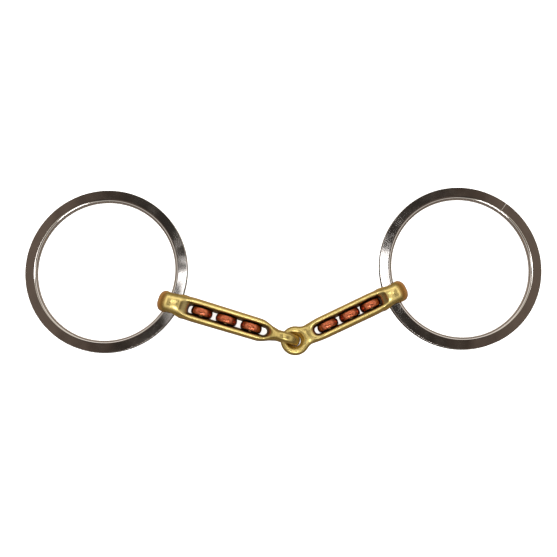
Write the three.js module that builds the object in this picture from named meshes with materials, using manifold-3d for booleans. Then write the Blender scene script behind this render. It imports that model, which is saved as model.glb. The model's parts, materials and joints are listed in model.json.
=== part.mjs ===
// A loose-ring snaffle bit with a single joint and copper rollers, lying flat on a table.
// Two cast brass cannons are linked by interlocking eyes. Each cannon has a long slot that goes
// right through it, with three copper rollers turning on cross pins, and a barrel-shaped butt
// whose bore carries a flat-section steel ring.
// Millimetres, +Z up. The origin is the middle of the footprint, on the table.

import * as THREE from 'three';
import { mergeVertices } from 'three/addons/utils/BufferGeometryUtils.js';
import Module from 'manifold-3d';

const wasm = await Module();
wasm.setup();

const { cos, sin, abs, sign, asin, PI } = Math;
const radians = THREE.MathUtils.degToRad;

// ---- Driving dimensions ----

const BUTT_RADIUS = 8.9; // of the barrel round the ring's bore, which rests on the table
const BUTT_LENGTH = 13.4; // of the barrel along the bore, the full width of the cannon
const BUTT_EDGE = 2.8; // rounding of the barrel's two rims
const BORE_RADIUS = 5.3;
const BORE_MOUTH = 1.6; // depth and widening of the bore's bell mouths

const SHOULDER_HEIGHT = 7.6; // half height of the cannon next to the butt
const TIP_WIDTH = 6.4; // half width at the slot's joint end
const TIP_HEIGHT = 6.6; // half height at the slot's joint end
const SECTION_POWER = 2.5; // 2 is an ellipse, more is squarer
const NECK_START = -5; // from the slot's joint end to where the bar begins to narrow
const NECK_END = 8; // from the slot's joint end to where it has the eye's thickness
const FLAT_NECK_WIDTH = 5.6; // half width where the bar runs into the flat eye
const EYE_OVERLAP = 0.3; // how far short of the eye's hole the bar ends

const SLOT_WIDTH = 4.8;
const SLOT_CORNER = 1.7; // radius of the slot's two corners next to the butt
const LIP_FLARE = 1.4; // how much the slot opens sideways at the surface
const OVERCUT = 1.2; // how far the slot's cutter stands out of the cannon
const FLARE_FROM = 0.4; // share of the half height at which the slot begins to open

const EYE_HOLE = 4.2; // radius of both eyes' holes
const UPRIGHT_EYE = { outer: BUTT_RADIUS, thickness: 5.9 };
const FLAT_EYE = { outer: 8.3, thickness: 5.4 };
const EYE_EDGE = 1.7; // rounding of the eyes' rims

const ROLLER_RADIUS = 6.3;
const ROLLER_WIDTH = 4.1;
const ROLLER_SHOULDER = 5.9; // radius at the rims of the crowned tread
const ROLLER_EDGE = 0.4; // chamfer between the tread and the side faces
const ROLLER_BORE = 1.45;
const PIN_RADIUS = 1.2;
const PIN_GAP = 0.15; // round the pin in the cannon's rails
const PIN_RECESS = 0.2; // of each pin end below the cannon's side

const RING_OUTER = 47.05;
const RING_INNER = 40.05;
const RING_THICKNESS = 4.4;
const RING_OUTER_EDGE = 0.7; // rounding of the outer rims
const RING_INNER_EDGE = 1.6; // rounding of the inner rims, where the reins run
const RING_SEAT = 43.35; // from the ring's centre to the bore's centre

const JOINT_AT = new THREE.Vector2(6.3, -40.3); // centre of the flat eye

// Each half has its own frame: +X from the bore's centre to the joint, Y along the bore.
// heading is the direction of +X, reach the distance from the bore to the joint, open the
// clear length of the slot, scoop how far each end slopes out to its lip, and skew the angle
// by which the ring is turned in its bore.
const HALVES = {
  left: {
    heading: radians(-16.9),
    reach: 72.9,
    upright: true,
    open: [9.0, 56.0],
    scoop: [5.0, 2.1],
    rollers: [17.3, 31.9, 46.6],
    skew: radians(9.2),
  },
  right: {
    heading: radians(205.4),
    reach: 60.9,
    upright: false,
    open: [6.8, 48.4],
    scoop: [3.7, 1.6],
    rollers: [13.5, 26.6, 40.3],
    skew: radians(3.7),
  },
};

// ---- Materials ----

const MATERIALS = {
  brass: { color: 0xb99a3c, roughness: 0.25, metalness: 1 },
  pin: { color: 0xa8893a, roughness: 0.35, metalness: 1 },
  copper: { color: 0xa8492c, roughness: 0.3, metalness: 1 },
  steel: { color: 0x8c8784, roughness: 0.2, metalness: 1 },
};

// ---- Solids ----

function toSolid(geometry) {
  const bare = geometry.clone();
  bare.deleteAttribute('normal');
  bare.deleteAttribute('uv');
  const merged = mergeVertices(bare, 1e-4);
  return new wasm.Manifold(new wasm.Mesh({
    numProp: 3,
    vertProperties: new Float32Array(merged.attributes.position.array),
    triVerts: new Uint32Array(merged.index.array),
  }));
}

function toGeometry(solid) {
  const mesh = solid.getMesh();
  const geometry = new THREE.BufferGeometry();
  geometry.setAttribute('position', new THREE.BufferAttribute(mesh.vertProperties, 3));
  geometry.setIndex(new THREE.BufferAttribute(mesh.triVerts, 1));
  geometry.computeVertexNormals();
  return geometry;
}

function reshape(geometry, place) {
  const position = geometry.attributes.position;
  const point = new THREE.Vector3();
  for (let i = 0; i < position.count; i += 1) {
    place(point.fromBufferAttribute(position, i));
    position.setXYZ(i, point.x, point.y, point.z);
  }
  return geometry;
}

// A closed ring of revolution about Y, from a rectangular section with rounded corners.
function ringOfRevolution({ inner, outer, height, innerEdge, outerEdge, steps, around }) {
  const half = height / 2;
  const section = new THREE.Path();
  section.moveTo(outer, -half + outerEdge);
  section.lineTo(outer, half - outerEdge);
  section.absarc(outer - outerEdge, half - outerEdge, outerEdge, 0, PI / 2, false);
  section.absarc(inner + innerEdge, half - innerEdge, innerEdge, PI / 2, PI, false);
  section.absarc(inner + innerEdge, -half + innerEdge, innerEdge, PI, 1.5 * PI, false);
  section.absarc(outer - outerEdge, -half + outerEdge, outerEdge, 1.5 * PI, 2 * PI, false);
  return new THREE.LatheGeometry(withoutRepeats(section.getPoints(steps)), around);
}

// An outline's points with repeats dropped, ending exactly on its first point.
function withoutRepeats(points) {
  const kept = points.filter((p, i) => i === 0 || p.distanceTo(points[i - 1]) > 1e-3);
  kept[kept.length - 1] = kept[0].clone();
  return kept;
}

function rodAcross(radius, length, sides) {
  return new THREE.CylinderGeometry(radius, radius, length, sides);
}

// ---- Cannon ----

const mix = THREE.MathUtils.lerp;
const ease = THREE.MathUtils.smoothstep;

function eyeOf(half) {
  return half.upright ? UPRIGHT_EYE : FLAT_EYE;
}

// The flat eye is centred on the joint. The upright eye hangs in it, so its centre is on the
// middle of the flat eye's rim.
function eyeCentre(half) {
  const rim = (FLAT_EYE.outer + EYE_HOLE) / 2;
  return half.upright ? half.reach - rim : half.reach;
}

function halfWidth(half, x) {
  const tip = half.open[1];
  const body = mix(BUTT_LENGTH / 2, TIP_WIDTH, THREE.MathUtils.clamp(x / tip, 0, 1));
  const neck = half.upright ? UPRIGHT_EYE.thickness / 2 : FLAT_NECK_WIDTH;
  return mix(body, neck, ease(x, tip + NECK_START, tip + NECK_END));
}

function halfHeight(half, x) {
  const tip = half.open[1];
  const body = mix(SHOULDER_HEIGHT, TIP_HEIGHT, THREE.MathUtils.clamp(x / tip, 0, 1));
  const neck = half.upright ? TIP_HEIGHT : FLAT_EYE.thickness / 2;
  return mix(body, neck, ease(x, tip + NECK_START, tip + NECK_END));
}

function rounded(value) {
  return sign(value) * abs(value) ** (2 / SECTION_POWER);
}

// The cannon's bar, from the middle of the butt to the near side of the eye's hole.
function bar(half) {
  const end = eyeCentre(half) - EYE_HOLE - EYE_OVERLAP;
  const rod = new THREE.CylinderGeometry(1, 1, 1, 24, 18);
  rod.rotateZ(-PI / 2);
  return reshape(rod, (p) => {
    const x = mix(0, end, p.x + 0.5);
    p.set(x, rounded(p.y) * halfWidth(half, x), rounded(p.z) * halfHeight(half, x));
  });
}

function butt() {
  return ringOfRevolution({
    inner: BORE_RADIUS - 1,
    outer: BUTT_RADIUS,
    height: BUTT_LENGTH,
    innerEdge: 0.5,
    outerEdge: BUTT_EDGE,
    steps: 2,
    around: 36,
  });
}

// The bore's cutter, which runs 1 past each face of the butt, with a bell mouth at each end.
function bore() {
  const end = BUTT_LENGTH / 2 + 1;
  const profile = [
    new THREE.Vector2(0, -end),
    new THREE.Vector2(BORE_RADIUS + BORE_MOUTH, -end),
    new THREE.Vector2(BORE_RADIUS, -end + BORE_MOUTH + 1),
    new THREE.Vector2(BORE_RADIUS, end - BORE_MOUTH - 1),
    new THREE.Vector2(BORE_RADIUS + BORE_MOUTH, end),
    new THREE.Vector2(0, end),
  ];
  return new THREE.LatheGeometry(profile, 36);
}

function eye(half) {
  const { outer, thickness } = eyeOf(half);
  const ring = ringOfRevolution({
    inner: EYE_HOLE,
    outer,
    height: thickness,
    innerEdge: EYE_EDGE,
    outerEdge: EYE_EDGE,
    steps: 1,
    around: 28,
  });
  if (!half.upright) ring.rotateX(PI / 2);
  return ring.translate(eyeCentre(half), 0, 0);
}

function eyeHole(half) {
  const hole = rodAcross(EYE_HOLE, 4 * EYE_HOLE, 28);
  if (!half.upright) hole.rotateX(PI / 2);
  return hole.translate(eyeCentre(half), 0, 0);
}

// The slot's cutter: an outline squarer at the butt and round at the joint, which opens out
// towards the cannon's upper and lower surfaces, a little at its sides and more at its ends.
function slot(half) {
  const radius = SLOT_WIDTH / 2;
  const [start, end] = half.open;
  const outline = new THREE.Shape();
  const corner = radius - SLOT_CORNER;
  outline.absarc(end - radius, 0, radius, -PI / 2, PI / 2, false);
  outline.absarc(start + SLOT_CORNER, corner, SLOT_CORNER, PI / 2, PI, false);
  outline.absarc(start + SLOT_CORNER, -corner, SLOT_CORNER, PI, 1.5 * PI, false);
  outline.closePath();
  const cutter = new THREE.ExtrudeGeometry(outline, {
    depth: 2,
    steps: 8,
    curveSegments: 5,
    bevelEnabled: false,
  });
  return reshape(cutter, (p) => {
    const level = p.z - 1;
    const flare = ease(abs(level), FLARE_FROM, 1);
    const past = Math.max(0, start + radius - p.x) / radius;
    const beyond = Math.max(0, p.x - end + radius) / radius;
    const x = p.x + flare * (half.scoop[1] * beyond - half.scoop[0] * past);
    const y = p.y * (1 + (flare * LIP_FLARE) / radius);
    p.set(x, y, level * (halfHeight(half, x) + OVERCUT));
  });
}

function cannon(half) {
  let solid = toSolid(butt()).add(toSolid(bar(half))).add(toSolid(eye(half)));
  solid = solid.subtract(toSolid(bore()));
  solid = solid.subtract(toSolid(eyeHole(half)));
  solid = solid.subtract(toSolid(slot(half)));
  for (const x of half.rollers) {
    const hole = rodAcross(PIN_RADIUS + PIN_GAP, 2 * BUTT_LENGTH, 12).translate(x, 0, 0);
    solid = solid.subtract(toSolid(hole));
  }
  return toGeometry(solid);
}

// ---- Rollers, pins and rings ----

// A crowned disc with a bore, its axis along Y.
function roller() {
  const edge = ROLLER_WIDTH / 2;
  const crown = new THREE.QuadraticBezierCurve(
    new THREE.Vector2(ROLLER_SHOULDER, -edge + ROLLER_EDGE),
    new THREE.Vector2(2 * ROLLER_RADIUS - ROLLER_SHOULDER, 0),
    new THREE.Vector2(ROLLER_SHOULDER, edge - ROLLER_EDGE),
  );
  const profile = [
    new THREE.Vector2(ROLLER_BORE, -edge),
    new THREE.Vector2(ROLLER_SHOULDER - ROLLER_EDGE, -edge),
    ...crown.getPoints(4),
    new THREE.Vector2(ROLLER_SHOULDER - ROLLER_EDGE, edge),
    new THREE.Vector2(ROLLER_BORE, edge),
    new THREE.Vector2(ROLLER_BORE, -edge),
  ];
  return new THREE.LatheGeometry(profile, 22);
}

function pin(half, x) {
  return rodAcross(PIN_RADIUS, 2 * (halfWidth(half, x) - PIN_RECESS), 12);
}

function ring() {
  const hoop = ringOfRevolution({
    inner: RING_INNER,
    outer: RING_OUTER,
    height: RING_THICKNESS,
    innerEdge: RING_INNER_EDGE,
    outerEdge: RING_OUTER_EDGE,
    steps: 1,
    around: 60,
  });
  return hoop.rotateX(PI / 2);
}

// The angle at which the ring's far edge comes down to the table.
function restTilt(half) {
  const farEdge = RING_SEAT * cos(half.skew) + RING_OUTER - RING_OUTER_EDGE;
  return asin((BUTT_RADIUS - RING_THICKNESS / 2) / farEdge);
}

// ---- Assembly ----

function piece(name, geometry, look) {
  const mesh = new THREE.Mesh(geometry, new THREE.MeshStandardMaterial(MATERIALS[look]));
  mesh.name = name;
  return mesh;
}

function assembleHalf(side) {
  const half = HALVES[side];
  const group = new THREE.Group();
  group.rotation.z = half.heading;
  group.position.set(
    JOINT_AT.x - half.reach * cos(half.heading),
    JOINT_AT.y - half.reach * sin(half.heading),
    BUTT_RADIUS,
  );
  group.add(piece(`${side}_cannon`, cannon(half), 'brass'));

  half.rollers.forEach((x, i) => {
    const wheel = piece(`${side}_roller_${i + 1}`, roller(), 'copper');
    wheel.position.x = x;
    const axle = piece(`${side}_roller_pin_${i + 1}`, pin(half, x), 'pin');
    axle.position.x = x;
    group.add(wheel, axle);
  });

  const hanger = new THREE.Group();
  hanger.rotation.y = -restTilt(half);
  const hoop = piece(`${side}_ring`, ring(), 'steel');
  hoop.position.set(-RING_SEAT * cos(half.skew), RING_SEAT * sin(half.skew), 0);
  hanger.add(hoop);
  group.add(hanger);
  return group;
}

const bit = new THREE.Group();
bit.add(assembleHalf('left'), assembleHalf('right'));

const bounds = new THREE.Box3().setFromObject(bit, true);
const middle = bounds.getCenter(new THREE.Vector3());
bit.position.set(-middle.x, -middle.y, -bounds.min.z);

export default bit;
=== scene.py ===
"""A loose-ring snaffle bit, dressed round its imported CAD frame. Metres, +Z up.

The cannons are cast forms, so each is one smooth distance field, meshed and then polished onto
its zero surface. The rings, rollers and pins are turned or drawn, so each is a section revolved.
"""

import json
import math

import bpy
import numpy as np
from mathutils import Matrix, Quaternion, Vector


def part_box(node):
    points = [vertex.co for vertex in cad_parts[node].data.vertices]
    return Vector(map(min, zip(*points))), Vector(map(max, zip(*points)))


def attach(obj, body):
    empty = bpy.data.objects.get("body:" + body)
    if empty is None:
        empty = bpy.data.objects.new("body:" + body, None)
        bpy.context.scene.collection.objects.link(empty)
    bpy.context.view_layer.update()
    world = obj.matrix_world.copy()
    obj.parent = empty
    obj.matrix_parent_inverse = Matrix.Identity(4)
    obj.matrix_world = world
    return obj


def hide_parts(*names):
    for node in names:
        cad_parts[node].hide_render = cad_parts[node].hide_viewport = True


MM = 0.001

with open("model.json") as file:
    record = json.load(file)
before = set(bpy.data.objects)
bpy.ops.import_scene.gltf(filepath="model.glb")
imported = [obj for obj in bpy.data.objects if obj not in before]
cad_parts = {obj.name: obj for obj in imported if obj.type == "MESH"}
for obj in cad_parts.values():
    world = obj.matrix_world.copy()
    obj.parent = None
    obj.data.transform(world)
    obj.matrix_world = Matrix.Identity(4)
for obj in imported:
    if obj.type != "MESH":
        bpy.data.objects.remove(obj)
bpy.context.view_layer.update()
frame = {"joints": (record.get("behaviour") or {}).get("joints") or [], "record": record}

# ---- Sizes, in millimetres ----

BUTT_RADIUS = 8.9
BUTT_HALF = 7.0  # half length of the barrel round the ring's bore
BUTT_POWER = 2.8  # of the barrel's outline, where 2 is an ellipse and more is squarer
CROWN_POWER = 2.2  # of its section across the bar
BORE_RADIUS = 5.35
BARREL_EDGE = 0.5  # softness of the barrel's two rims
BUTT_BLEND = 2.2  # of the butt into the bar
WAIST = 0.3  # how much narrower the bar is inside the butt, where the two forms blend
WAIST_SPAN = (-14, -4)  # where that narrowing comes in, measured back from the bore
SHOULDER_HEIGHT = 7.5
TIP_WIDTH = 6.4  # half width of the bar at the slot's joint end
TIP_HEIGHT = 6.55
FLAT_NECK_WIDTH = 5.5
SECTION_POWER = 3.3  # of the bar's section, squarer than the butt's
SECTION_LENGTH = 13  # from the bore, over which the one becomes the other
NECK_START = -5.0  # from the slot's joint end
NECK_END = 8.0
SLOT_RADIUS = 2.2
SLOT_CORNER = 1.7  # radius of the slot's corners next to the butt
LIP_EDGE = 2.2  # rounding of the rails round the slot
END_LIP_EDGE = 1.1  # the same at the slot's end next to the butt
END_LIP_SPAN = (-3, 5)  # from the slot's start, over which the one rounding becomes the other
UPPER_FLARE_FROM = 0.0  # shares of the half height at which the slot begins to open
LOWER_FLARE_FROM = 0.75
LEDGE_FROM = 0.55  # the same for the ledge at the slot's end next to the butt
EYE_HOLE = 4.2
FLAT_EYE_THROAT = 2.7  # radius of the flat eye's hole half way through it
FLAT_EYE_MOUTH = EYE_HOLE + 0.3  # the same at its two faces
FLAT_EYE_RADIUS = 8.3
FLAT_EYE_THICKNESS = 5.3
UPRIGHT_EYE_THICKNESS = 5.8
EYE_EDGE = 2.2
EYE_BLEND = 2.0  # of the eye into the bar
UPRIGHT_NECK_INSET = 0.1  # how much the neck's half thickness is less than its eye's
FLAT_NECK_INSET = 0.2
BAR_STOP = 1.2  # how far short of the eye's hole the bar ends
HOLE_EDGE = 1.6  # softness of the rims of the bore and the eye's hole
PIN_RADIUS = 1.2
PIN_GAP = 0.1  # between a pin and its hole in the rail
PIN_HOLE_EDGE = 0.15
PIN_DOME = 0.35  # height of the domed ends
PIN_PROUD = 0.05  # how far they stand past the bar's half width

ROLLER_RADIUS = 6.3
ROLLER_SHOULDER = 5.9
ROLLER_HALF = 2.05
ROLLER_EDGE = 0.35  # width of the broken edge beside the tread
ROLLER_BORE = 1.45

RING_OUTER = 47.05
RING_INNER = 40.05
RING_HALF = 2.2
RING_OUTER_EDGE = 0.15
RING_INNER_EDGE = 2.0
RING_TURNS = 480  # sections round a ring
SEAM_AT = math.radians(54)  # round the right ring, from its own X
SEAM_DEPTH = 0.1
SEAM_WIDTH = 0.11  # in degrees round the ring, as are the next two
SEAM_REACH = 0.7  # each side of the seam, where the mesh is fine
SEAM_CLEAR = 0.8  # each side of it, where the even sections give way to the fine ones

# For each half: whether its eye stands upright, where the slot begins and ends, how far it runs
# out at each end and spreads at its sides by the surface, how far its upper mouth lies to the
# front, the bar's half width next to the butt, and how far the butt is drawn out
HALVES = {
    "left": {
        "upright": True,
        "open": (9.0, 56.0),
        "scoop": (3.6, 2.1),
        "flare": 1.5,
        "forward": 0.3,
        "shoulder": 6.95,
        "end": 1.0,
    },
    "right": {
        "upright": False,
        "open": (6.8, 48.4),
        "scoop": (2.7, 1.6),
        "flare": 1.3,
        "forward": 0.0,
        "shoulder": 6.6,
        "end": 1.05,
    },
}

CANNON_STEP = 0.3  # grid of the cannons' meshes

# Where the brass changes colour along a half, in millimetres from the bore
BUTT_END_PAINTED_REFLECTION_SPAN = (-3.7, -5.3)  # painted reflection, orange-brown, at the butt's end
LINK_TINT_SPAN = (47.0, 55.0)  # darker towards the link

# ---- Camera, in metres and degrees ----

CAMERA_AWAY = 0.65
CAMERA_LEAN = math.radians(7)  # from straight down, towards the front
VIEW_WIDTH = 0.3203  # seen across the picture at the bit

# The room's tone by height, from -1 straight down to 1 straight up
ROOM_TONES = [
    (-1.0, (0.08, 0.07, 0.06)),
    (-0.94, (0.09, 0.075, 0.065)),
    (-0.86, (0.37, 0.31, 0.255)),
    (-0.25, (0.46, 0.38, 0.31)),
    (0.0, (0.13, 0.11, 0.09)),
    (0.35, (0.30, 0.26, 0.22)),
    (0.52, (0.42, 0.38, 0.34)),
    (0.62, (1.22, 1.16, 1.08)),
    (0.74, (1.22, 1.16, 1.08)),
    (0.82, (0.12, 0.10, 0.085)),
]
# The ceiling's tone by distance to the left or right of overhead, as the sine of the angle
CEILING_TONES = [
    (0.0, (0.80, 0.74, 0.63)),
    (0.14, (0.66, 0.60, 0.50)),
    (0.22, (0.035, 0.031, 0.028)),
    (0.265, (0.036, 0.031, 0.026)),
    (0.29, (0.065, 0.048, 0.038)),
    (0.34, (0.175, 0.135, 0.108)),
    (0.45, (0.13, 0.105, 0.08)),
]
CEILING_FROM = (0.78, 0.84)  # the heights between which the room gives way to the ceiling


# ---- Places, from the frame ----


def joint(name):
    return next(j for j in frame["joints"] if j["name"] == name)


def mount(name):
    return next(m for m in frame["record"]["mounts"] if m["name"] == name)


JOINT_AT = Vector(joint("mouthpiece_fold")["pos_m"])


def half_frame(side):
    """The matrix from a half's own frame, in millimetres, to the row frame. X runs from the bore
    to the joint, Y along the bore and Z up."""
    bore = Vector(joint(f"{side}_ring_swing")["pos_m"])
    along = (JOINT_AT - bore).normalized()
    up = Vector((0, 0, 1))
    turn = Matrix((along, up.cross(along), up)).transposed()
    return Matrix.Translation(bore) @ turn.to_4x4() @ Matrix.Scale(MM, 4)


def rotation(matrix):
    return np.array(matrix.to_3x3().normalized())


def along_half(side, point):
    """How far along a half's own X a point of the row frame lies, in millimetres."""
    return (half_frame(side).inverted() @ Vector(point)).x


def roller_places(side):
    return [along_half(side, joint(f"{side}_roller_{i}_spin")["pos_m"]) for i in (1, 2, 3)]


for side, half in HALVES.items():
    half["reach"] = along_half(side, JOINT_AT)
    half["rollers"] = roller_places(side)


# ---- Meshes ----


def make_object(name, points, faces, matrix=None):
    mesh = bpy.data.meshes.new(name)
    mesh.from_pydata([tuple(p) for p in points], [], [tuple(f) for f in faces])
    if matrix is not None:
        mesh.transform(matrix)
    mesh.validate()
    mesh.update()
    mesh.shade_smooth()
    piece = bpy.data.objects.new(name, mesh)
    bpy.context.scene.collection.objects.link(piece)
    return piece


def add_values(piece, name, values):
    """Stores one number for each vertex, which a material reads by this name."""
    attribute = piece.data.attributes.new(name, "FLOAT", "POINT")
    attribute.data.foreach_set("value", np.asarray(values, np.float32))


def add_places(piece, name, places):
    """Stores one place for each vertex, for patterns that follow the piece's own axes."""
    attribute = piece.data.attributes.new(name, "FLOAT_VECTOR", "POINT")
    attribute.data.foreach_set("vector", np.asarray(places, np.float32).ravel())


def revolve(section, turns):
    """A closed ring from a section of (radius, height) points revolved about Z. turns holds the
    angles, all round."""
    section = np.asarray(section, float)
    turns = np.asarray(turns, float)
    n, m = len(turns), len(section)
    radius, height = section[:, 0], section[:, 1]
    x = np.cos(turns)[:, None] * radius
    y = np.sin(turns)[:, None] * radius
    z = np.broadcast_to(height, (n, m))
    points = np.stack([x, y, z], -1).reshape(-1, 3)
    a = np.arange(n)[:, None] * m + np.arange(m)
    b = np.roll(a, -1, axis=0)
    faces = np.stack([a, b, np.roll(b, -1, axis=1), np.roll(a, -1, axis=1)], -1)
    return points, faces.reshape(-1, 4)


def corner(centre, radius, start, end, steps):
    """Points on an arc of the section, angles in degrees."""
    angles = np.radians(np.linspace(start, end, steps + 1))
    return [(centre[0] + radius * math.cos(t), centre[1] + radius * math.sin(t)) for t in angles]


# ---- Distance fields, in millimetres ----


def soft_min(a, b, blend):
    share = np.clip(0.5 + 0.5 * (b - a) / blend, 0, 1)
    return b + (a - b) * share - blend * share * (1 - share)


def soft_max(a, b, blend):
    return -soft_min(-a, -b, blend)


def round_max(a, b, radius):
    """Where both are inside, with the edge between them rounded to a radius."""
    outside = np.hypot(np.maximum(a + radius, 0), np.maximum(b + radius, 0))
    return np.minimum(np.maximum(a, b), -radius) + outside


def ease(value, low, high):
    t = np.clip((value - low) / (high - low), 0, 1)
    return t * t * (3 - 2 * t)


def mix(a, b, share):
    return a + (b - a) * share


def rounded_box(u, v, half_u, half_v, edge):
    """Distance to a rectangle with rounded corners, in its plane."""
    du = np.abs(u) - half_u + edge
    dv = np.abs(v) - half_v + edge
    outside = np.hypot(np.maximum(du, 0), np.maximum(dv, 0))
    return outside + np.minimum(np.maximum(du, dv), 0) - edge


def half_width(half, x):
    tip = half["open"][1]
    body = mix(half["shoulder"], TIP_WIDTH, np.clip(x / tip, 0, 1)) - WAIST * ease(-x, *WAIST_SPAN)
    upright_neck = UPRIGHT_EYE_THICKNESS / 2 - UPRIGHT_NECK_INSET
    neck = upright_neck if half["upright"] else FLAT_NECK_WIDTH
    return mix(body, neck, ease(x, tip + NECK_START, tip + NECK_END))


def half_height(half, x):
    tip = half["open"][1]
    body = mix(SHOULDER_HEIGHT, TIP_HEIGHT, np.clip(x / tip, 0, 1))
    neck = TIP_HEIGHT if half["upright"] else FLAT_EYE_THICKNESS / 2 - FLAT_NECK_INSET
    return mix(body, neck, ease(x, tip + NECK_START, tip + NECK_END))


def squared_ellipse(u, v, half_u, half_v, power):
    """Distance to an ellipse made squarer by a power above 2, in its plane."""
    u, v = np.abs(u) / half_u, np.abs(v) / half_v
    size = np.maximum((u**power + v**power) ** (1 / power), 1e-6)
    slope = np.hypot((u / size) ** (power - 1) / half_u, (v / size) ** (power - 1) / half_v)
    return (size - 1) / slope


def bar_field(half, x, y, z):
    power = mix(CROWN_POWER, SECTION_POWER, ease(x, 0, SECTION_LENGTH))
    side = squared_ellipse(y, z, half_width(half, x), half_height(half, x), power)
    end = eye_centre(half) - EYE_HOLE - BAR_STOP
    return soft_max(soft_max(side, x - end, 2.0), -x, 1.0)


def eye_centre(half):
    rim = (FLAT_EYE_RADIUS + EYE_HOLE) / 2
    return half["reach"] - (rim if half["upright"] else 0)


def eye_field(half, x, y, z):
    if half["upright"]:
        inner, outer, thick = EYE_HOLE, BUTT_RADIUS, UPRIGHT_EYE_THICKNESS
        flat, off = z, y
    else:
        inner, outer, thick = FLAT_EYE_THROAT, FLAT_EYE_RADIUS, FLAT_EYE_THICKNESS
        flat, off = y, z
    radial = np.hypot(x - eye_centre(half), flat)
    ring = radial - (outer + inner) / 2
    return rounded_box(ring, off, (outer - inner) / 2, thick / 2, EYE_EDGE), radial


def hole_radius(half, z):
    """The upright eye's hole is straight, and the flat eye's opens towards its two faces."""
    if half["upright"]:
        return EYE_HOLE
    return mix(FLAT_EYE_THROAT, FLAT_EYE_MOUTH, ease(np.abs(z) / FLAT_EYE_THICKNESS * 2, 0.3, 1))


def slot_field(half, x, y, z):
    """The through slot, opening a little at its sides and much more at its ends towards the
    upper surface, and again close to the lower one."""
    level = z / (half_height(half, x) + 0.5)
    upper = ease(level, UPPER_FLARE_FROM, 1.0)
    flare = upper + ease(-level, LOWER_FLARE_FROM, 1.0)
    start = half["open"][0] - half["scoop"][0] * ease(np.abs(level), LEDGE_FROM, 1.0)
    end = half["open"][1] + half["scoop"][1] * flare
    radius = SLOT_RADIUS + half["flare"] * flare
    middle = (start + end) / 2
    rounding = np.where(x < middle, SLOT_CORNER + 0.5 * flare, radius)
    across = y + half["forward"] * upper
    return rounded_box(x - middle, across, (end - start) / 2, radius, rounding)


def cannon_field(half, x, y, z):
    out = np.hypot(np.where(x < 0, x / half["end"], x), z)
    barrel = squared_ellipse(out, y, BUTT_RADIUS, BUTT_HALF, BUTT_POWER)
    crown = squared_ellipse(y, z, BUTT_HALF, BUTT_RADIUS, CROWN_POWER)
    butt = soft_max(barrel, crown, BARREL_EDGE)
    body = soft_min(butt, bar_field(half, x, y, z), BUTT_BLEND)
    eye, from_eye = eye_field(half, x, y, z)
    body = soft_min(body, eye, EYE_BLEND)
    body = soft_max(body, hole_radius(half, z) - from_eye, HOLE_EDGE)
    body = soft_max(body, BORE_RADIUS - np.hypot(x, z), HOLE_EDGE)
    low, high = (half["open"][0] + off for off in END_LIP_SPAN)
    lip = mix(END_LIP_EDGE, LIP_EDGE, ease(x, low, high))
    body = round_max(body, -slot_field(half, x, y, z), lip)
    for place in half["rollers"]:
        hole = PIN_RADIUS + PIN_GAP - np.hypot(x - place, z)
        body = soft_max(body, hole, PIN_HOLE_EDGE)
    return body


def gradient(field, p, reach=0.02):
    parts = []
    for axis in range(3):
        shift = np.zeros(3)
        shift[axis] = reach
        ahead, behind = p + shift, p - shift
        parts.append((field(*ahead.T) - field(*behind.T)) / (2 * reach))
    return np.stack(parts, -1)


def settle(field, p, rounds):
    """Moves points onto the field's zero surface."""
    for _ in range(rounds):
        slope = gradient(field, p)
        steep = np.maximum((slope**2).sum(1), 0.05)
        p = p - (field(*p.T) / steep)[:, None] * slope
    return p


def bend(field, p, reach=0.35):
    """How convex the surface is at each point: above 0 on edges, below 0 in hollows."""
    total = -6 * field(*p.T)
    for axis in range(3):
        shift = np.zeros(3)
        shift[axis] = reach
        total = total + field(*(p + shift).T) + field(*(p - shift).T)
    return total / reach**2


def mesh_of(field, low, high, step):
    """Quads over the field's zero surface: one vertex in each grid cell that the surface
    crosses, joined round each grid edge that it crosses."""
    counts = [int(math.ceil((h - l) / step)) + 1 for l, h in zip(low, high)]
    axes = [low[i] + step * np.arange(counts[i]) for i in range(3)]
    grid = np.stack(np.meshgrid(*axes, indexing="ij"), -1)
    values = field(grid[..., 0], grid[..., 1], grid[..., 2])
    inside = values < 0
    cells = tuple(c - 1 for c in counts)
    total = np.zeros((*cells, 3))
    hits = np.zeros(cells)
    edges = []
    for axis in range(3):
        first = [slice(None)] * 3
        second = [slice(None)] * 3
        first[axis], second[axis] = slice(None, -1), slice(1, None)
        a, b = values[tuple(first)], values[tuple(second)]
        crossed = inside[tuple(first)] != inside[tuple(second)]
        share = np.where(crossed, a / np.where(crossed, a - b, 1), 0)
        place = grid[tuple(first)] + np.zeros(3)
        place[..., axis] += share * step
        u, v = [i for i in range(3) if i != axis]
        for du in (0, 1):
            for dv in (0, 1):
                part = [slice(None)] * 3
                part[u] = slice(du, du + cells[u])
                part[v] = slice(dv, dv + cells[v])
                seen = crossed[tuple(part)]
                total += np.where(seen[..., None], place[tuple(part)], 0)
                hits += seen
        edges.append((axis, u, v, crossed, inside[tuple(first)]))
    used = hits > 0
    number = np.full(cells, -1)
    number[used] = np.arange(used.sum())
    points = total[used] / hits[used][:, None]
    faces = []
    for axis, u, v, crossed, starts_inside in edges:
        at = np.argwhere(crossed)
        at = at[(at[:, u] > 0) & (at[:, v] > 0) & (at[:, u] < cells[u]) & (at[:, v] < cells[v])]
        corners = []
        for du, dv in ((-1, -1), (0, -1), (0, 0), (-1, 0)):
            cell = at.copy()
            cell[:, u] += du
            cell[:, v] += dv
            corners.append(number[tuple(cell.T)])
        quad = np.stack(corners, -1)
        flip = starts_inside[tuple(at.T)] != (axis != 1)
        quad[flip] = quad[flip][:, ::-1]
        faces.append(quad)
    return points, np.concatenate(faces)


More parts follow.
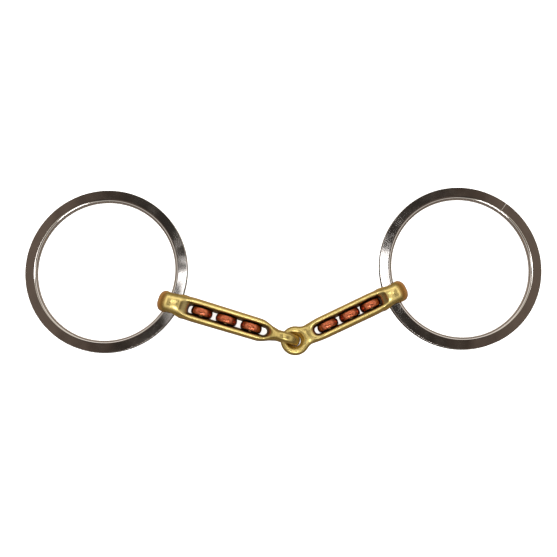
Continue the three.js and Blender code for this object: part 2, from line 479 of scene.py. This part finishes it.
def relax(points, faces, share=0.5):
    """Each point moved part of the way to the middle of its neighbours."""
    total = np.zeros_like(points)
    count = np.zeros(len(points))
    for a, b in ((0, 1), (1, 2), (2, 3), (3, 0)):
        np.add.at(total, faces[:, a], points[faces[:, b]])
        np.add.at(total, faces[:, b], points[faces[:, a]])
        np.add.at(count, faces[:, a], 1)
        np.add.at(count, faces[:, b], 1)
    return mix(points, total / count[:, None], share)


# ---- Pieces ----


def make_cannon(side, material):
    half = HALVES[side]

    def field(x, y, z):
        return cannon_field(half, x, y, z)

    far = eye_centre(half) + BUTT_RADIUS
    low = (-BUTT_RADIUS - 1, -FLAT_EYE_RADIUS - 1, -BUTT_RADIUS - 1)
    high = (far + 1, FLAT_EYE_RADIUS + 1, BUTT_RADIUS + 1)
    points, faces = mesh_of(field, low, high, CANNON_STEP)
    for _ in range(3):
        points = settle(field, relax(points, faces), 2)
    piece = make_object(f"{side}_cannon_cast", points, faces, half_frame(side))
    # How convex the surface is, for the painted shade, along with some dirt, in hollows
    add_values(piece, "convex", bend(field, points))
    slope = gradient(field, points)
    slope /= np.maximum(np.linalg.norm(slope, axis=1), 0.1)[:, None]
    piece.data.normals_split_custom_set_from_vertices(slope @ rotation(half_frame(side)).T)
    # How level the surface lies, for the painted shade that browns the steep sides
    add_values(piece, "level", np.abs(slope[:, 2]))
    # Masks for the painted shade inside the slot: how far into the slot, and how high up its walls
    add_values(piece, "in_slot", ease(-slot_field(half, *points.T), -1.2, 0.1))
    add_values(piece, "lit", ease(points[:, 2] / TIP_HEIGHT, 0.1, 0.8))
    add_places(piece, "own", points)
    piece.data.materials.append(material)
    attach(piece, f"{side}_cannon")
    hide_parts(f"{side}_cannon")


def roller_section():
    """The crowned disc's section as (radius, height), with broken edges."""
    rise = ROLLER_RADIUS - ROLLER_SHOULDER
    tread = []
    for t in np.linspace(-1, 1, 17):
        tread.append((ROLLER_SHOULDER + rise * (1 - t * t), t * (ROLLER_HALF - ROLLER_EDGE)))
    side = ROLLER_HALF
    upper = [
        (ROLLER_SHOULDER - 0.12, side - 0.12),
        (ROLLER_SHOULDER - 0.4, side),
        (ROLLER_SHOULDER - 1.0, side),
        (ROLLER_SHOULDER - 1.25, side - 0.2),
        (ROLLER_BORE + 1.1, side - 0.2),
        (ROLLER_BORE + 0.85, side),
        (ROLLER_BORE + 0.2, side),
        (ROLLER_BORE, side - 0.2),
    ]
    lower = [(r, -h) for r, h in reversed(upper)]
    return tread + upper + lower


def make_roller(side, index, material):
    points, faces = revolve(roller_section(), np.linspace(0, 2 * math.pi, 96, endpoint=False))
    place = HALVES[side]["rollers"][index - 1]
    onto_pin = Matrix.Translation((place, 0, 0)) @ Matrix.Rotation(math.pi / 2, 4, "X")
    matrix = half_frame(side) @ onto_pin
    piece = make_object(f"{side}_roller_{index}_turned", points, faces, matrix)
    add_places(piece, "own", points)
    piece.data.materials.append(material)
    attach(piece, f"{side}_roller_{index}")
    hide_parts(f"{side}_roller_{index}")


def make_pin(side, index, material):
    half = HALVES[side]
    place = half["rollers"][index - 1]
    length = float(half_width(half, np.array(place))) + PIN_PROUD
    dome = corner((0, 0), 1, 90, 0, 6)
    upper = [(max(r, 0.02) * PIN_RADIUS, length - PIN_DOME + PIN_DOME * h) for r, h in dome]
    profile = [(r, -h) for r, h in upper] + upper[::-1]
    points, faces = revolve_rod(profile, 32)
    onto_pin = Matrix.Translation((place, 0, 0)) @ Matrix.Rotation(math.pi / 2, 4, "X")
    piece = make_object(f"{side}_pin_{index}_peened", points, faces, half_frame(side) @ onto_pin)
    piece.data.materials.append(material)
    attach(piece, f"{side}_cannon")
    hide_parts(f"{side}_roller_pin_{index}")


def revolve_rod(profile, around):
    """A closed rod from a profile of (radius, height) points revolved about Z."""
    profile = np.asarray(profile, float)
    turns = np.linspace(0, 2 * math.pi, around, endpoint=False)
    m = len(profile)
    x = np.cos(turns)[:, None] * profile[:, 0]
    y = np.sin(turns)[:, None] * profile[:, 0]
    z = np.broadcast_to(profile[:, 1], x.shape)
    points = np.stack([x, y, z], -1).reshape(-1, 3)
    faces = []
    for i in range(around):
        a, b = i * m, (i + 1) % around * m
        faces += [(a + j, b + j, b + j + 1, a + j + 1) for j in range(m - 1)]
    faces.append([i * m for i in reversed(range(around))])
    faces.append([i * m + m - 1 for i in range(around)])
    return points, faces


def ring_section():
    """The flat band's section as (radius, height), with its four rims rounded."""
    outer = RING_OUTER - RING_OUTER_EDGE
    inner = RING_INNER + RING_INNER_EDGE
    up = RING_HALF
    points = [(RING_OUTER, up - RING_OUTER_EDGE - 0.05)]
    points += corner((outer, up - RING_OUTER_EDGE), RING_OUTER_EDGE, 0, 90, 6)
    points += [(mix(outer, inner, t), up) for t in (0.02, 0.25, 0.5, 0.75, 0.98)]
    points += corner((inner, up - RING_INNER_EDGE), RING_INNER_EDGE, 90, 180, 12)
    points.append((RING_INNER, up - RING_INNER_EDGE - 0.05))
    lower = [(r, -h) for r, h in reversed(points)]
    return points + lower


def turn_from(turns, seam):
    """Each angle measured from the seam, the shorter way round."""
    return (turns - seam + math.pi) % (2 * math.pi) - math.pi


def make_ring(side, material, seam=None):
    turns = np.linspace(0, 2 * math.pi, RING_TURNS, endpoint=False)
    if seam is not None:
        fine = seam + np.radians(np.linspace(-SEAM_REACH, SEAM_REACH, 29))
        turns = turns[np.abs(turn_from(turns, seam)) > math.radians(SEAM_CLEAR)]
        turns = np.sort(np.concatenate([turns, fine % (2 * math.pi)]))
    section = np.asarray(ring_section())
    points, faces = revolve(section, turns)
    if seam is not None:
        points = cut_seam(points, turns, seam, len(section))
    low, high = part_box(f"{side}_ring")
    up = Vector(mount(f"{side}_ring_upper_face")["axis"]).normalized()
    centre = (low + high) / 2
    level = Vector((0, 0, 1)).rotation_difference(up).to_matrix().to_4x4()
    matrix = Matrix.Translation(centre) @ level @ Matrix.Scale(MM, 4)
    piece = make_object(f"{side}_ring_polished", points, faces, matrix)
    add_places(piece, "own", points)
    piece.data.materials.append(material)
    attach(piece, f"{side}_ring")
    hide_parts(f"{side}_ring")


def cut_seam(points, turns, seam, count):
    """The fine line where the ring was closed and dressed flush."""
    off = np.degrees(turn_from(turns, seam))
    depth = np.repeat(SEAM_DEPTH * np.exp(-((off / SEAM_WIDTH) ** 2)), count)
    middle = (RING_OUTER + RING_INNER) / 2
    radius = np.hypot(points[:, 0], points[:, 1])
    in_section = np.stack([radius - middle, points[:, 2]], -1)
    size = np.maximum(np.hypot(in_section[:, 0], in_section[:, 1]), 0.1)
    radius_cut = radius - depth * in_section[:, 0] / size
    cut = points.copy()
    cut[:, :2] *= (radius_cut / radius)[:, None]
    cut[:, 2] -= depth * in_section[:, 1] / size
    return cut


# ---- Materials ----


class Nodes:
    """A shorthand for building one material's node tree."""

    def __init__(self, name):
        self.material = bpy.data.materials.new(name)
        self.material.use_nodes = True
        self.tree = self.material.node_tree
        self.shader = self.tree.nodes["Principled BSDF"]

    def add(self, kind, **settings):
        node = self.tree.nodes.new(kind)
        for key, value in settings.items():
            setattr(node, key, value)
        return node

    def link(self, source, target):
        self.tree.links.new(source, target)

    def values(self, name, output="Fac"):
        return self.add("ShaderNodeAttribute", attribute_name=name).outputs[output]

    def noise(self, place, scale, detail=4.0, rough=0.5):
        node = self.add("ShaderNodeTexNoise")
        self.link(place, node.inputs["Vector"])
        node.inputs["Scale"].default_value = scale
        node.inputs["Detail"].default_value = detail
        node.inputs["Roughness"].default_value = rough
        return node.outputs["Fac"]

    def stretch(self, place, scale):
        node = self.add("ShaderNodeMapping")
        self.link(place, node.inputs["Vector"])
        node.inputs["Scale"].default_value = scale
        return node.outputs["Vector"]

    def ramp(self, value, *stops):
        node = self.add("ShaderNodeValToRGB")
        self.link(value, node.inputs["Fac"])
        spots = node.color_ramp.elements
        while len(spots) < len(stops):
            spots.new(0.5)
        for spot, (at, shade) in zip(spots, stops):
            spot.position = at
            spot.color = (*shade, 1) if isinstance(shade, tuple) else (shade,) * 3 + (1,)
        return node.outputs["Color"]

    def span(self, value, low, high, to_low, to_high):
        node = self.add("ShaderNodeMapRange")
        self.link(value, node.inputs["Value"])
        for key, number in zip(
            ("From Min", "From Max", "To Min", "To Max"), (low, high, to_low, to_high)
        ):
            node.inputs[key].default_value = number
        return node.outputs["Result"]

    def mix(self, share, a, b):
        node = self.add("ShaderNodeMix", data_type="RGBA")
        for value, key in ((share, 0), (a, 6), (b, 7)):
            if isinstance(value, (tuple, float)):
                plain = (*value, 1) if isinstance(value, tuple) else value
                node.inputs[key].default_value = plain
            else:
                self.link(value, node.inputs[key])
        return node.outputs[2]

    def math(self, operation, a, b):
        node = self.add("ShaderNodeMath", operation=operation)
        for value, key in ((a, 0), (b, 1)):
            if isinstance(value, float):
                node.inputs[key].default_value = value
            else:
                self.link(value, node.inputs[key])
        return node.outputs["Value"]

    def bump(self, height, distance, strength=1.0, under=None):
        node = self.add("ShaderNodeBump")
        self.link(height, node.inputs["Height"])
        node.inputs["Distance"].default_value = distance
        node.inputs["Strength"].default_value = strength
        if under is not None:
            self.link(under, node.inputs["Normal"])
        return node.outputs["Normal"]


def brass_material():
    """Cast and tumbled brass, with painted shade and reflection: palest where the surface lies
    flat, browner where it turns steep, painted shade in hollows along with some dirt, a painted
    orange-brown reflection at the butt's end, darker towards the link, and painted shade inside
    the slot."""
    n = Nodes("cast_brass")
    own = n.values("own", "Vector")
    # Painted shade and reflection: steep sides browner and flat tops paler, as the light falls on
    # them
    steep, sloped, flat = (0.48, 0.26, 0.06), (0.62, 0.43, 0.11), (0.84, 0.68, 0.27)
    base = n.ramp(n.values("level"), (0.1, steep), (0.55, sloped), (0.92, flat))
    split = n.add("ShaderNodeSeparateXYZ")
    n.link(own, split.inputs["Vector"])
    # Painted reflection: orange-brown where the butt's end curves away
    butt_reflection = n.span(split.outputs["X"], *BUTT_END_PAINTED_REFLECTION_SPAN, 0.0, 0.85)
    base = n.mix(butt_reflection, base, (0.62, 0.28, 0.07))
    link_end = n.span(split.outputs["X"], *LINK_TINT_SPAN, 0.0, 0.55)
    base = n.mix(link_end, base, (0.42, 0.31, 0.10))
    cloud = n.noise(own, 0.35, 5.0, 0.6)
    base = n.mix(n.span(cloud, 0.35, 0.75, 0.0, 0.5), base, (0.55, 0.43, 0.13))
    # Painted shade in the hollows, along with some dirt
    hollow_dirt_and_shade = n.span(n.values("convex"), -0.1, -0.9, 0.0, 0.8)
    base = n.mix(hollow_dirt_and_shade, base, (0.20, 0.11, 0.03))
    # Painted shade inside the slot: dark deep down, olive higher up where the walls are lit
    inside = n.mix(n.values("lit"), (0.15, 0.09, 0.03), (0.48, 0.39, 0.18))
    base = n.mix(n.span(n.values("in_slot"), 0.2, 1.0, 0.0, 0.85), base, inside)
    n.link(base, n.shader.inputs["Base Color"])
    n.shader.inputs["Metallic"].default_value = 1.0
    smudge = n.noise(own, 1.6, 6.0, 0.65)
    n.link(n.span(smudge, 0.3, 0.8, 0.24, 0.40), n.shader.inputs["Roughness"])
    wave = n.bump(n.noise(own, 0.22, 2.0), 0.00012)
    grain = n.bump(n.noise(own, 4.0, 6.0, 0.7), 0.000015, 1.0, wave)
    n.link(grain, n.shader.inputs["Normal"])
    return n.material


def pin_material():
    n = Nodes("drawn_brass")
    place = n.add("ShaderNodeTexCoord").outputs["Object"]
    cloud = n.noise(place, 900.0, 4.0)
    n.link(n.mix(cloud, (0.45, 0.30, 0.10), (0.70, 0.55, 0.24)), n.shader.inputs["Base Color"])
    n.shader.inputs["Metallic"].default_value = 1.0
    n.link(n.span(cloud, 0.3, 0.7, 0.25, 0.45), n.shader.inputs["Roughness"])
    n.link(n.bump(n.noise(place, 3000.0, 3.0), 0.00003, 0.6), n.shader.inputs["Normal"])
    return n.material


def copper_material():
    """Turned copper: fine lines round the tread, worn a little out of round, and darker towards
    the bore, a painted shade on the side faces."""
    n = Nodes("turned_copper")
    own = n.values("own", "Vector")
    split = n.add("ShaderNodeSeparateXYZ")
    n.link(own, split.inputs["Vector"])
    around = n.math("POWER", n.math("ADD", n.math("POWER", split.outputs["X"], 2.0),
                                    n.math("POWER", split.outputs["Y"], 2.0)), 0.5)
    cloud = n.noise(own, 0.7, 5.0, 0.6)
    base = n.mix(cloud, (0.34, 0.06, 0.022), (0.64, 0.19, 0.08))
    # Painted shade: the side faces darken towards the bore
    base = n.mix(n.span(around, 3.5, 5.5, 0.75, 0.0), base, (0.16, 0.045, 0.02))
    n.link(base, n.shader.inputs["Base Color"])
    n.shader.inputs["Metallic"].default_value = 1.0
    n.link(n.span(n.noise(own, 1.8, 6.0, 0.7), 0.3, 0.8, 0.17, 0.28), n.shader.inputs["Roughness"])
    lines = n.noise(n.stretch(own, (0.06, 0.06, 9.0)), 1.0, 3.0, 0.6)
    facets = n.bump(n.noise(n.stretch(own, (1.0, 1.0, 0.2)), 0.9, 2.0), 0.0003)
    n.link(n.bump(lines, 0.00003, 1.0, facets), n.shader.inputs["Normal"])
    n.shader.inputs["Coat Weight"].default_value = 0.4
    n.shader.inputs["Coat Roughness"].default_value = 0.15
    return n.material


def steel_material():
    """Polished stainless: soft waves left by hand polishing, under fine handling scratches."""
    n = Nodes("polished_steel")
    own = n.values("own", "Vector")
    cloud = n.noise(own, 0.12, 5.0, 0.6)
    n.link(n.mix(cloud, (0.46, 0.43, 0.41), (0.60, 0.57, 0.55)), n.shader.inputs["Base Color"])
    n.shader.inputs["Metallic"].default_value = 1.0
    smudge = n.noise(own, 0.15, 0.0)
    n.link(n.span(smudge, 0.35, 0.8, 0.06, 0.11), n.shader.inputs["Roughness"])
    wave = n.bump(n.noise(own, 0.09, 0.5), 0.00009)
    scratch = n.bump(n.noise(own, 2.0, 3.0, 0.6), 0.000002, 1.0, wave)
    n.link(scratch, n.shader.inputs["Normal"])
    return n.material


# ---- Stage ----


def make_floor():
    size = 3.0
    points = [(-size, -size, 0), (size, -size, 0), (size, size, 0), (-size, size, 0)]
    floor = make_object("floor", points, [(0, 1, 2, 3)])
    n = Nodes("pale_floor")
    place = n.add("ShaderNodeTexCoord").outputs["Object"]
    tone = n.mix(n.noise(place, 3.0), (0.86, 0.86, 0.86), (0.9, 0.9, 0.9))
    n.link(tone, n.shader.inputs["Base Color"])
    n.shader.inputs["Roughness"].default_value = 0.9
    n.shader.inputs["Specular IOR Level"].default_value = 0.0
    n.shader.inputs["Emission Color"].default_value = (1, 1, 1, 1)
    n.shader.inputs["Emission Strength"].default_value = 0.8
    floor.data.materials.append(n.material)
    floor.visible_glossy = False


def make_light(name, place, aim, size, power, turn=0.0, glossy=True):
    """turn swings the light about the vertical."""
    data = bpy.data.lights.new(name, "AREA")
    data.shape = "RECTANGLE"
    data.size, data.size_y = size
    data.energy = power
    light = bpy.data.objects.new(name, data)
    light.location = place
    light.rotation_mode = "QUATERNION"
    facing = (Vector(aim) - Vector(place)).to_track_quat("-Z", "Y")
    light.rotation_quaternion = Quaternion((0, 0, 1), math.radians(turn)) @ facing
    light.visible_glossy = glossy
    bpy.context.scene.collection.objects.link(light)


def make_lights():
    make_light("strip", (0, 0.1345, 0.8), (0, 0.1345, 0), (0.49, 0.06), 0.5, turn=5.9)
    make_light("front", (0, -0.42, 0.75), (0, 0, 0), (0.36, 0.12), 1.7)
    make_light("fill", (0, 0, 1.2), (0, 0, 0), (1.6, 1.6), 14.0, glossy=False)


def tone_ramp(tree, value, tones, low):
    """A ramp over a value that runs from low to 1."""
    span = tree.nodes.new("ShaderNodeMapRange")
    span.inputs["From Min"].default_value = low
    ramp = tree.nodes.new("ShaderNodeValToRGB")
    tree.links.new(value, span.inputs["Value"])
    tree.links.new(span.outputs["Result"], ramp.inputs["Fac"])
    spots = ramp.color_ramp.elements
    while len(spots) < len(tones):
        spots.new(0.5)
    for spot, (at, shade) in zip(spots, tones):
        spot.position = (at - low) / (1 - low)
        spot.color = (*shade, 1)
    return ramp.outputs["Color"]


def make_world():
    """A room with a bright band at mid height, and a dim brown ceiling that is lighter overhead
    and again far out to the left and right."""
    world = bpy.data.worlds.new("room")
    world.use_nodes = True
    tree = world.node_tree
    place = tree.nodes.new("ShaderNodeTexCoord")
    split = tree.nodes.new("ShaderNodeSeparateXYZ")
    tree.links.new(place.outputs["Generated"], split.inputs["Vector"])
    aside = tree.nodes.new("ShaderNodeMath")
    aside.operation = "ABSOLUTE"
    tree.links.new(split.outputs["X"], aside.inputs[0])
    room = tone_ramp(tree, split.outputs["Z"], ROOM_TONES, -1)
    ceiling = tone_ramp(tree, aside.outputs["Value"], CEILING_TONES, 0)
    share = tree.nodes.new("ShaderNodeMapRange")
    share.inputs["From Min"].default_value = CEILING_FROM[0]
    share.inputs["From Max"].default_value = CEILING_FROM[1]
    tree.links.new(split.outputs["Z"], share.inputs["Value"])
    mixed = tree.nodes.new("ShaderNodeMix")
    mixed.data_type = "RGBA"
    tree.links.new(share.outputs["Result"], mixed.inputs[0])
    tree.links.new(room, mixed.inputs[6])
    tree.links.new(ceiling, mixed.inputs[7])
    back = tree.nodes.new("ShaderNodeMapRange")  # the far side of the room is the lighter one
    back.inputs["From Min"].default_value = -0.4
    back.inputs["From Max"].default_value = 0.4
    back.inputs["To Min"].default_value = 0.85
    back.inputs["To Max"].default_value = 1.45
    tree.links.new(split.outputs["Y"], back.inputs["Value"])
    background = tree.nodes["Background"]
    tree.links.new(mixed.outputs[2], background.inputs["Color"])
    tree.links.new(back.outputs["Result"], background.inputs["Strength"])
    bpy.context.scene.world = world


def make_camera():
    """Looking down from the front, a few degrees off straight above."""
    aim = Vector((-0.0028, -0.0044, 0.006))
    away = Vector((0, -math.sin(CAMERA_LEAN), math.cos(CAMERA_LEAN))) * CAMERA_AWAY
    data = bpy.data.cameras.new("camera")
    data.sensor_width = 36.0
    data.lens = data.sensor_width * CAMERA_AWAY / VIEW_WIDTH
    camera = bpy.data.objects.new("camera", data)
    camera.location = aim + away
    camera.rotation_euler = (CAMERA_LEAN, 0, 0)
    bpy.context.scene.collection.objects.link(camera)
    bpy.context.scene.camera = camera


# ---- The scene ----

make_camera()
make_world()
make_lights()
make_floor()
bpy.context.scene.view_settings.view_transform = "Standard"

brass, pins, copper, steel = brass_material(), pin_material(), copper_material(), steel_material()
for side in HALVES:
    make_cannon(side, brass)
    for index in (1, 2, 3):
        make_roller(side, index, copper)
        make_pin(side, index, pins)
make_ring("left", steel)
make_ring("right", steel, seam=SEAM_AT)
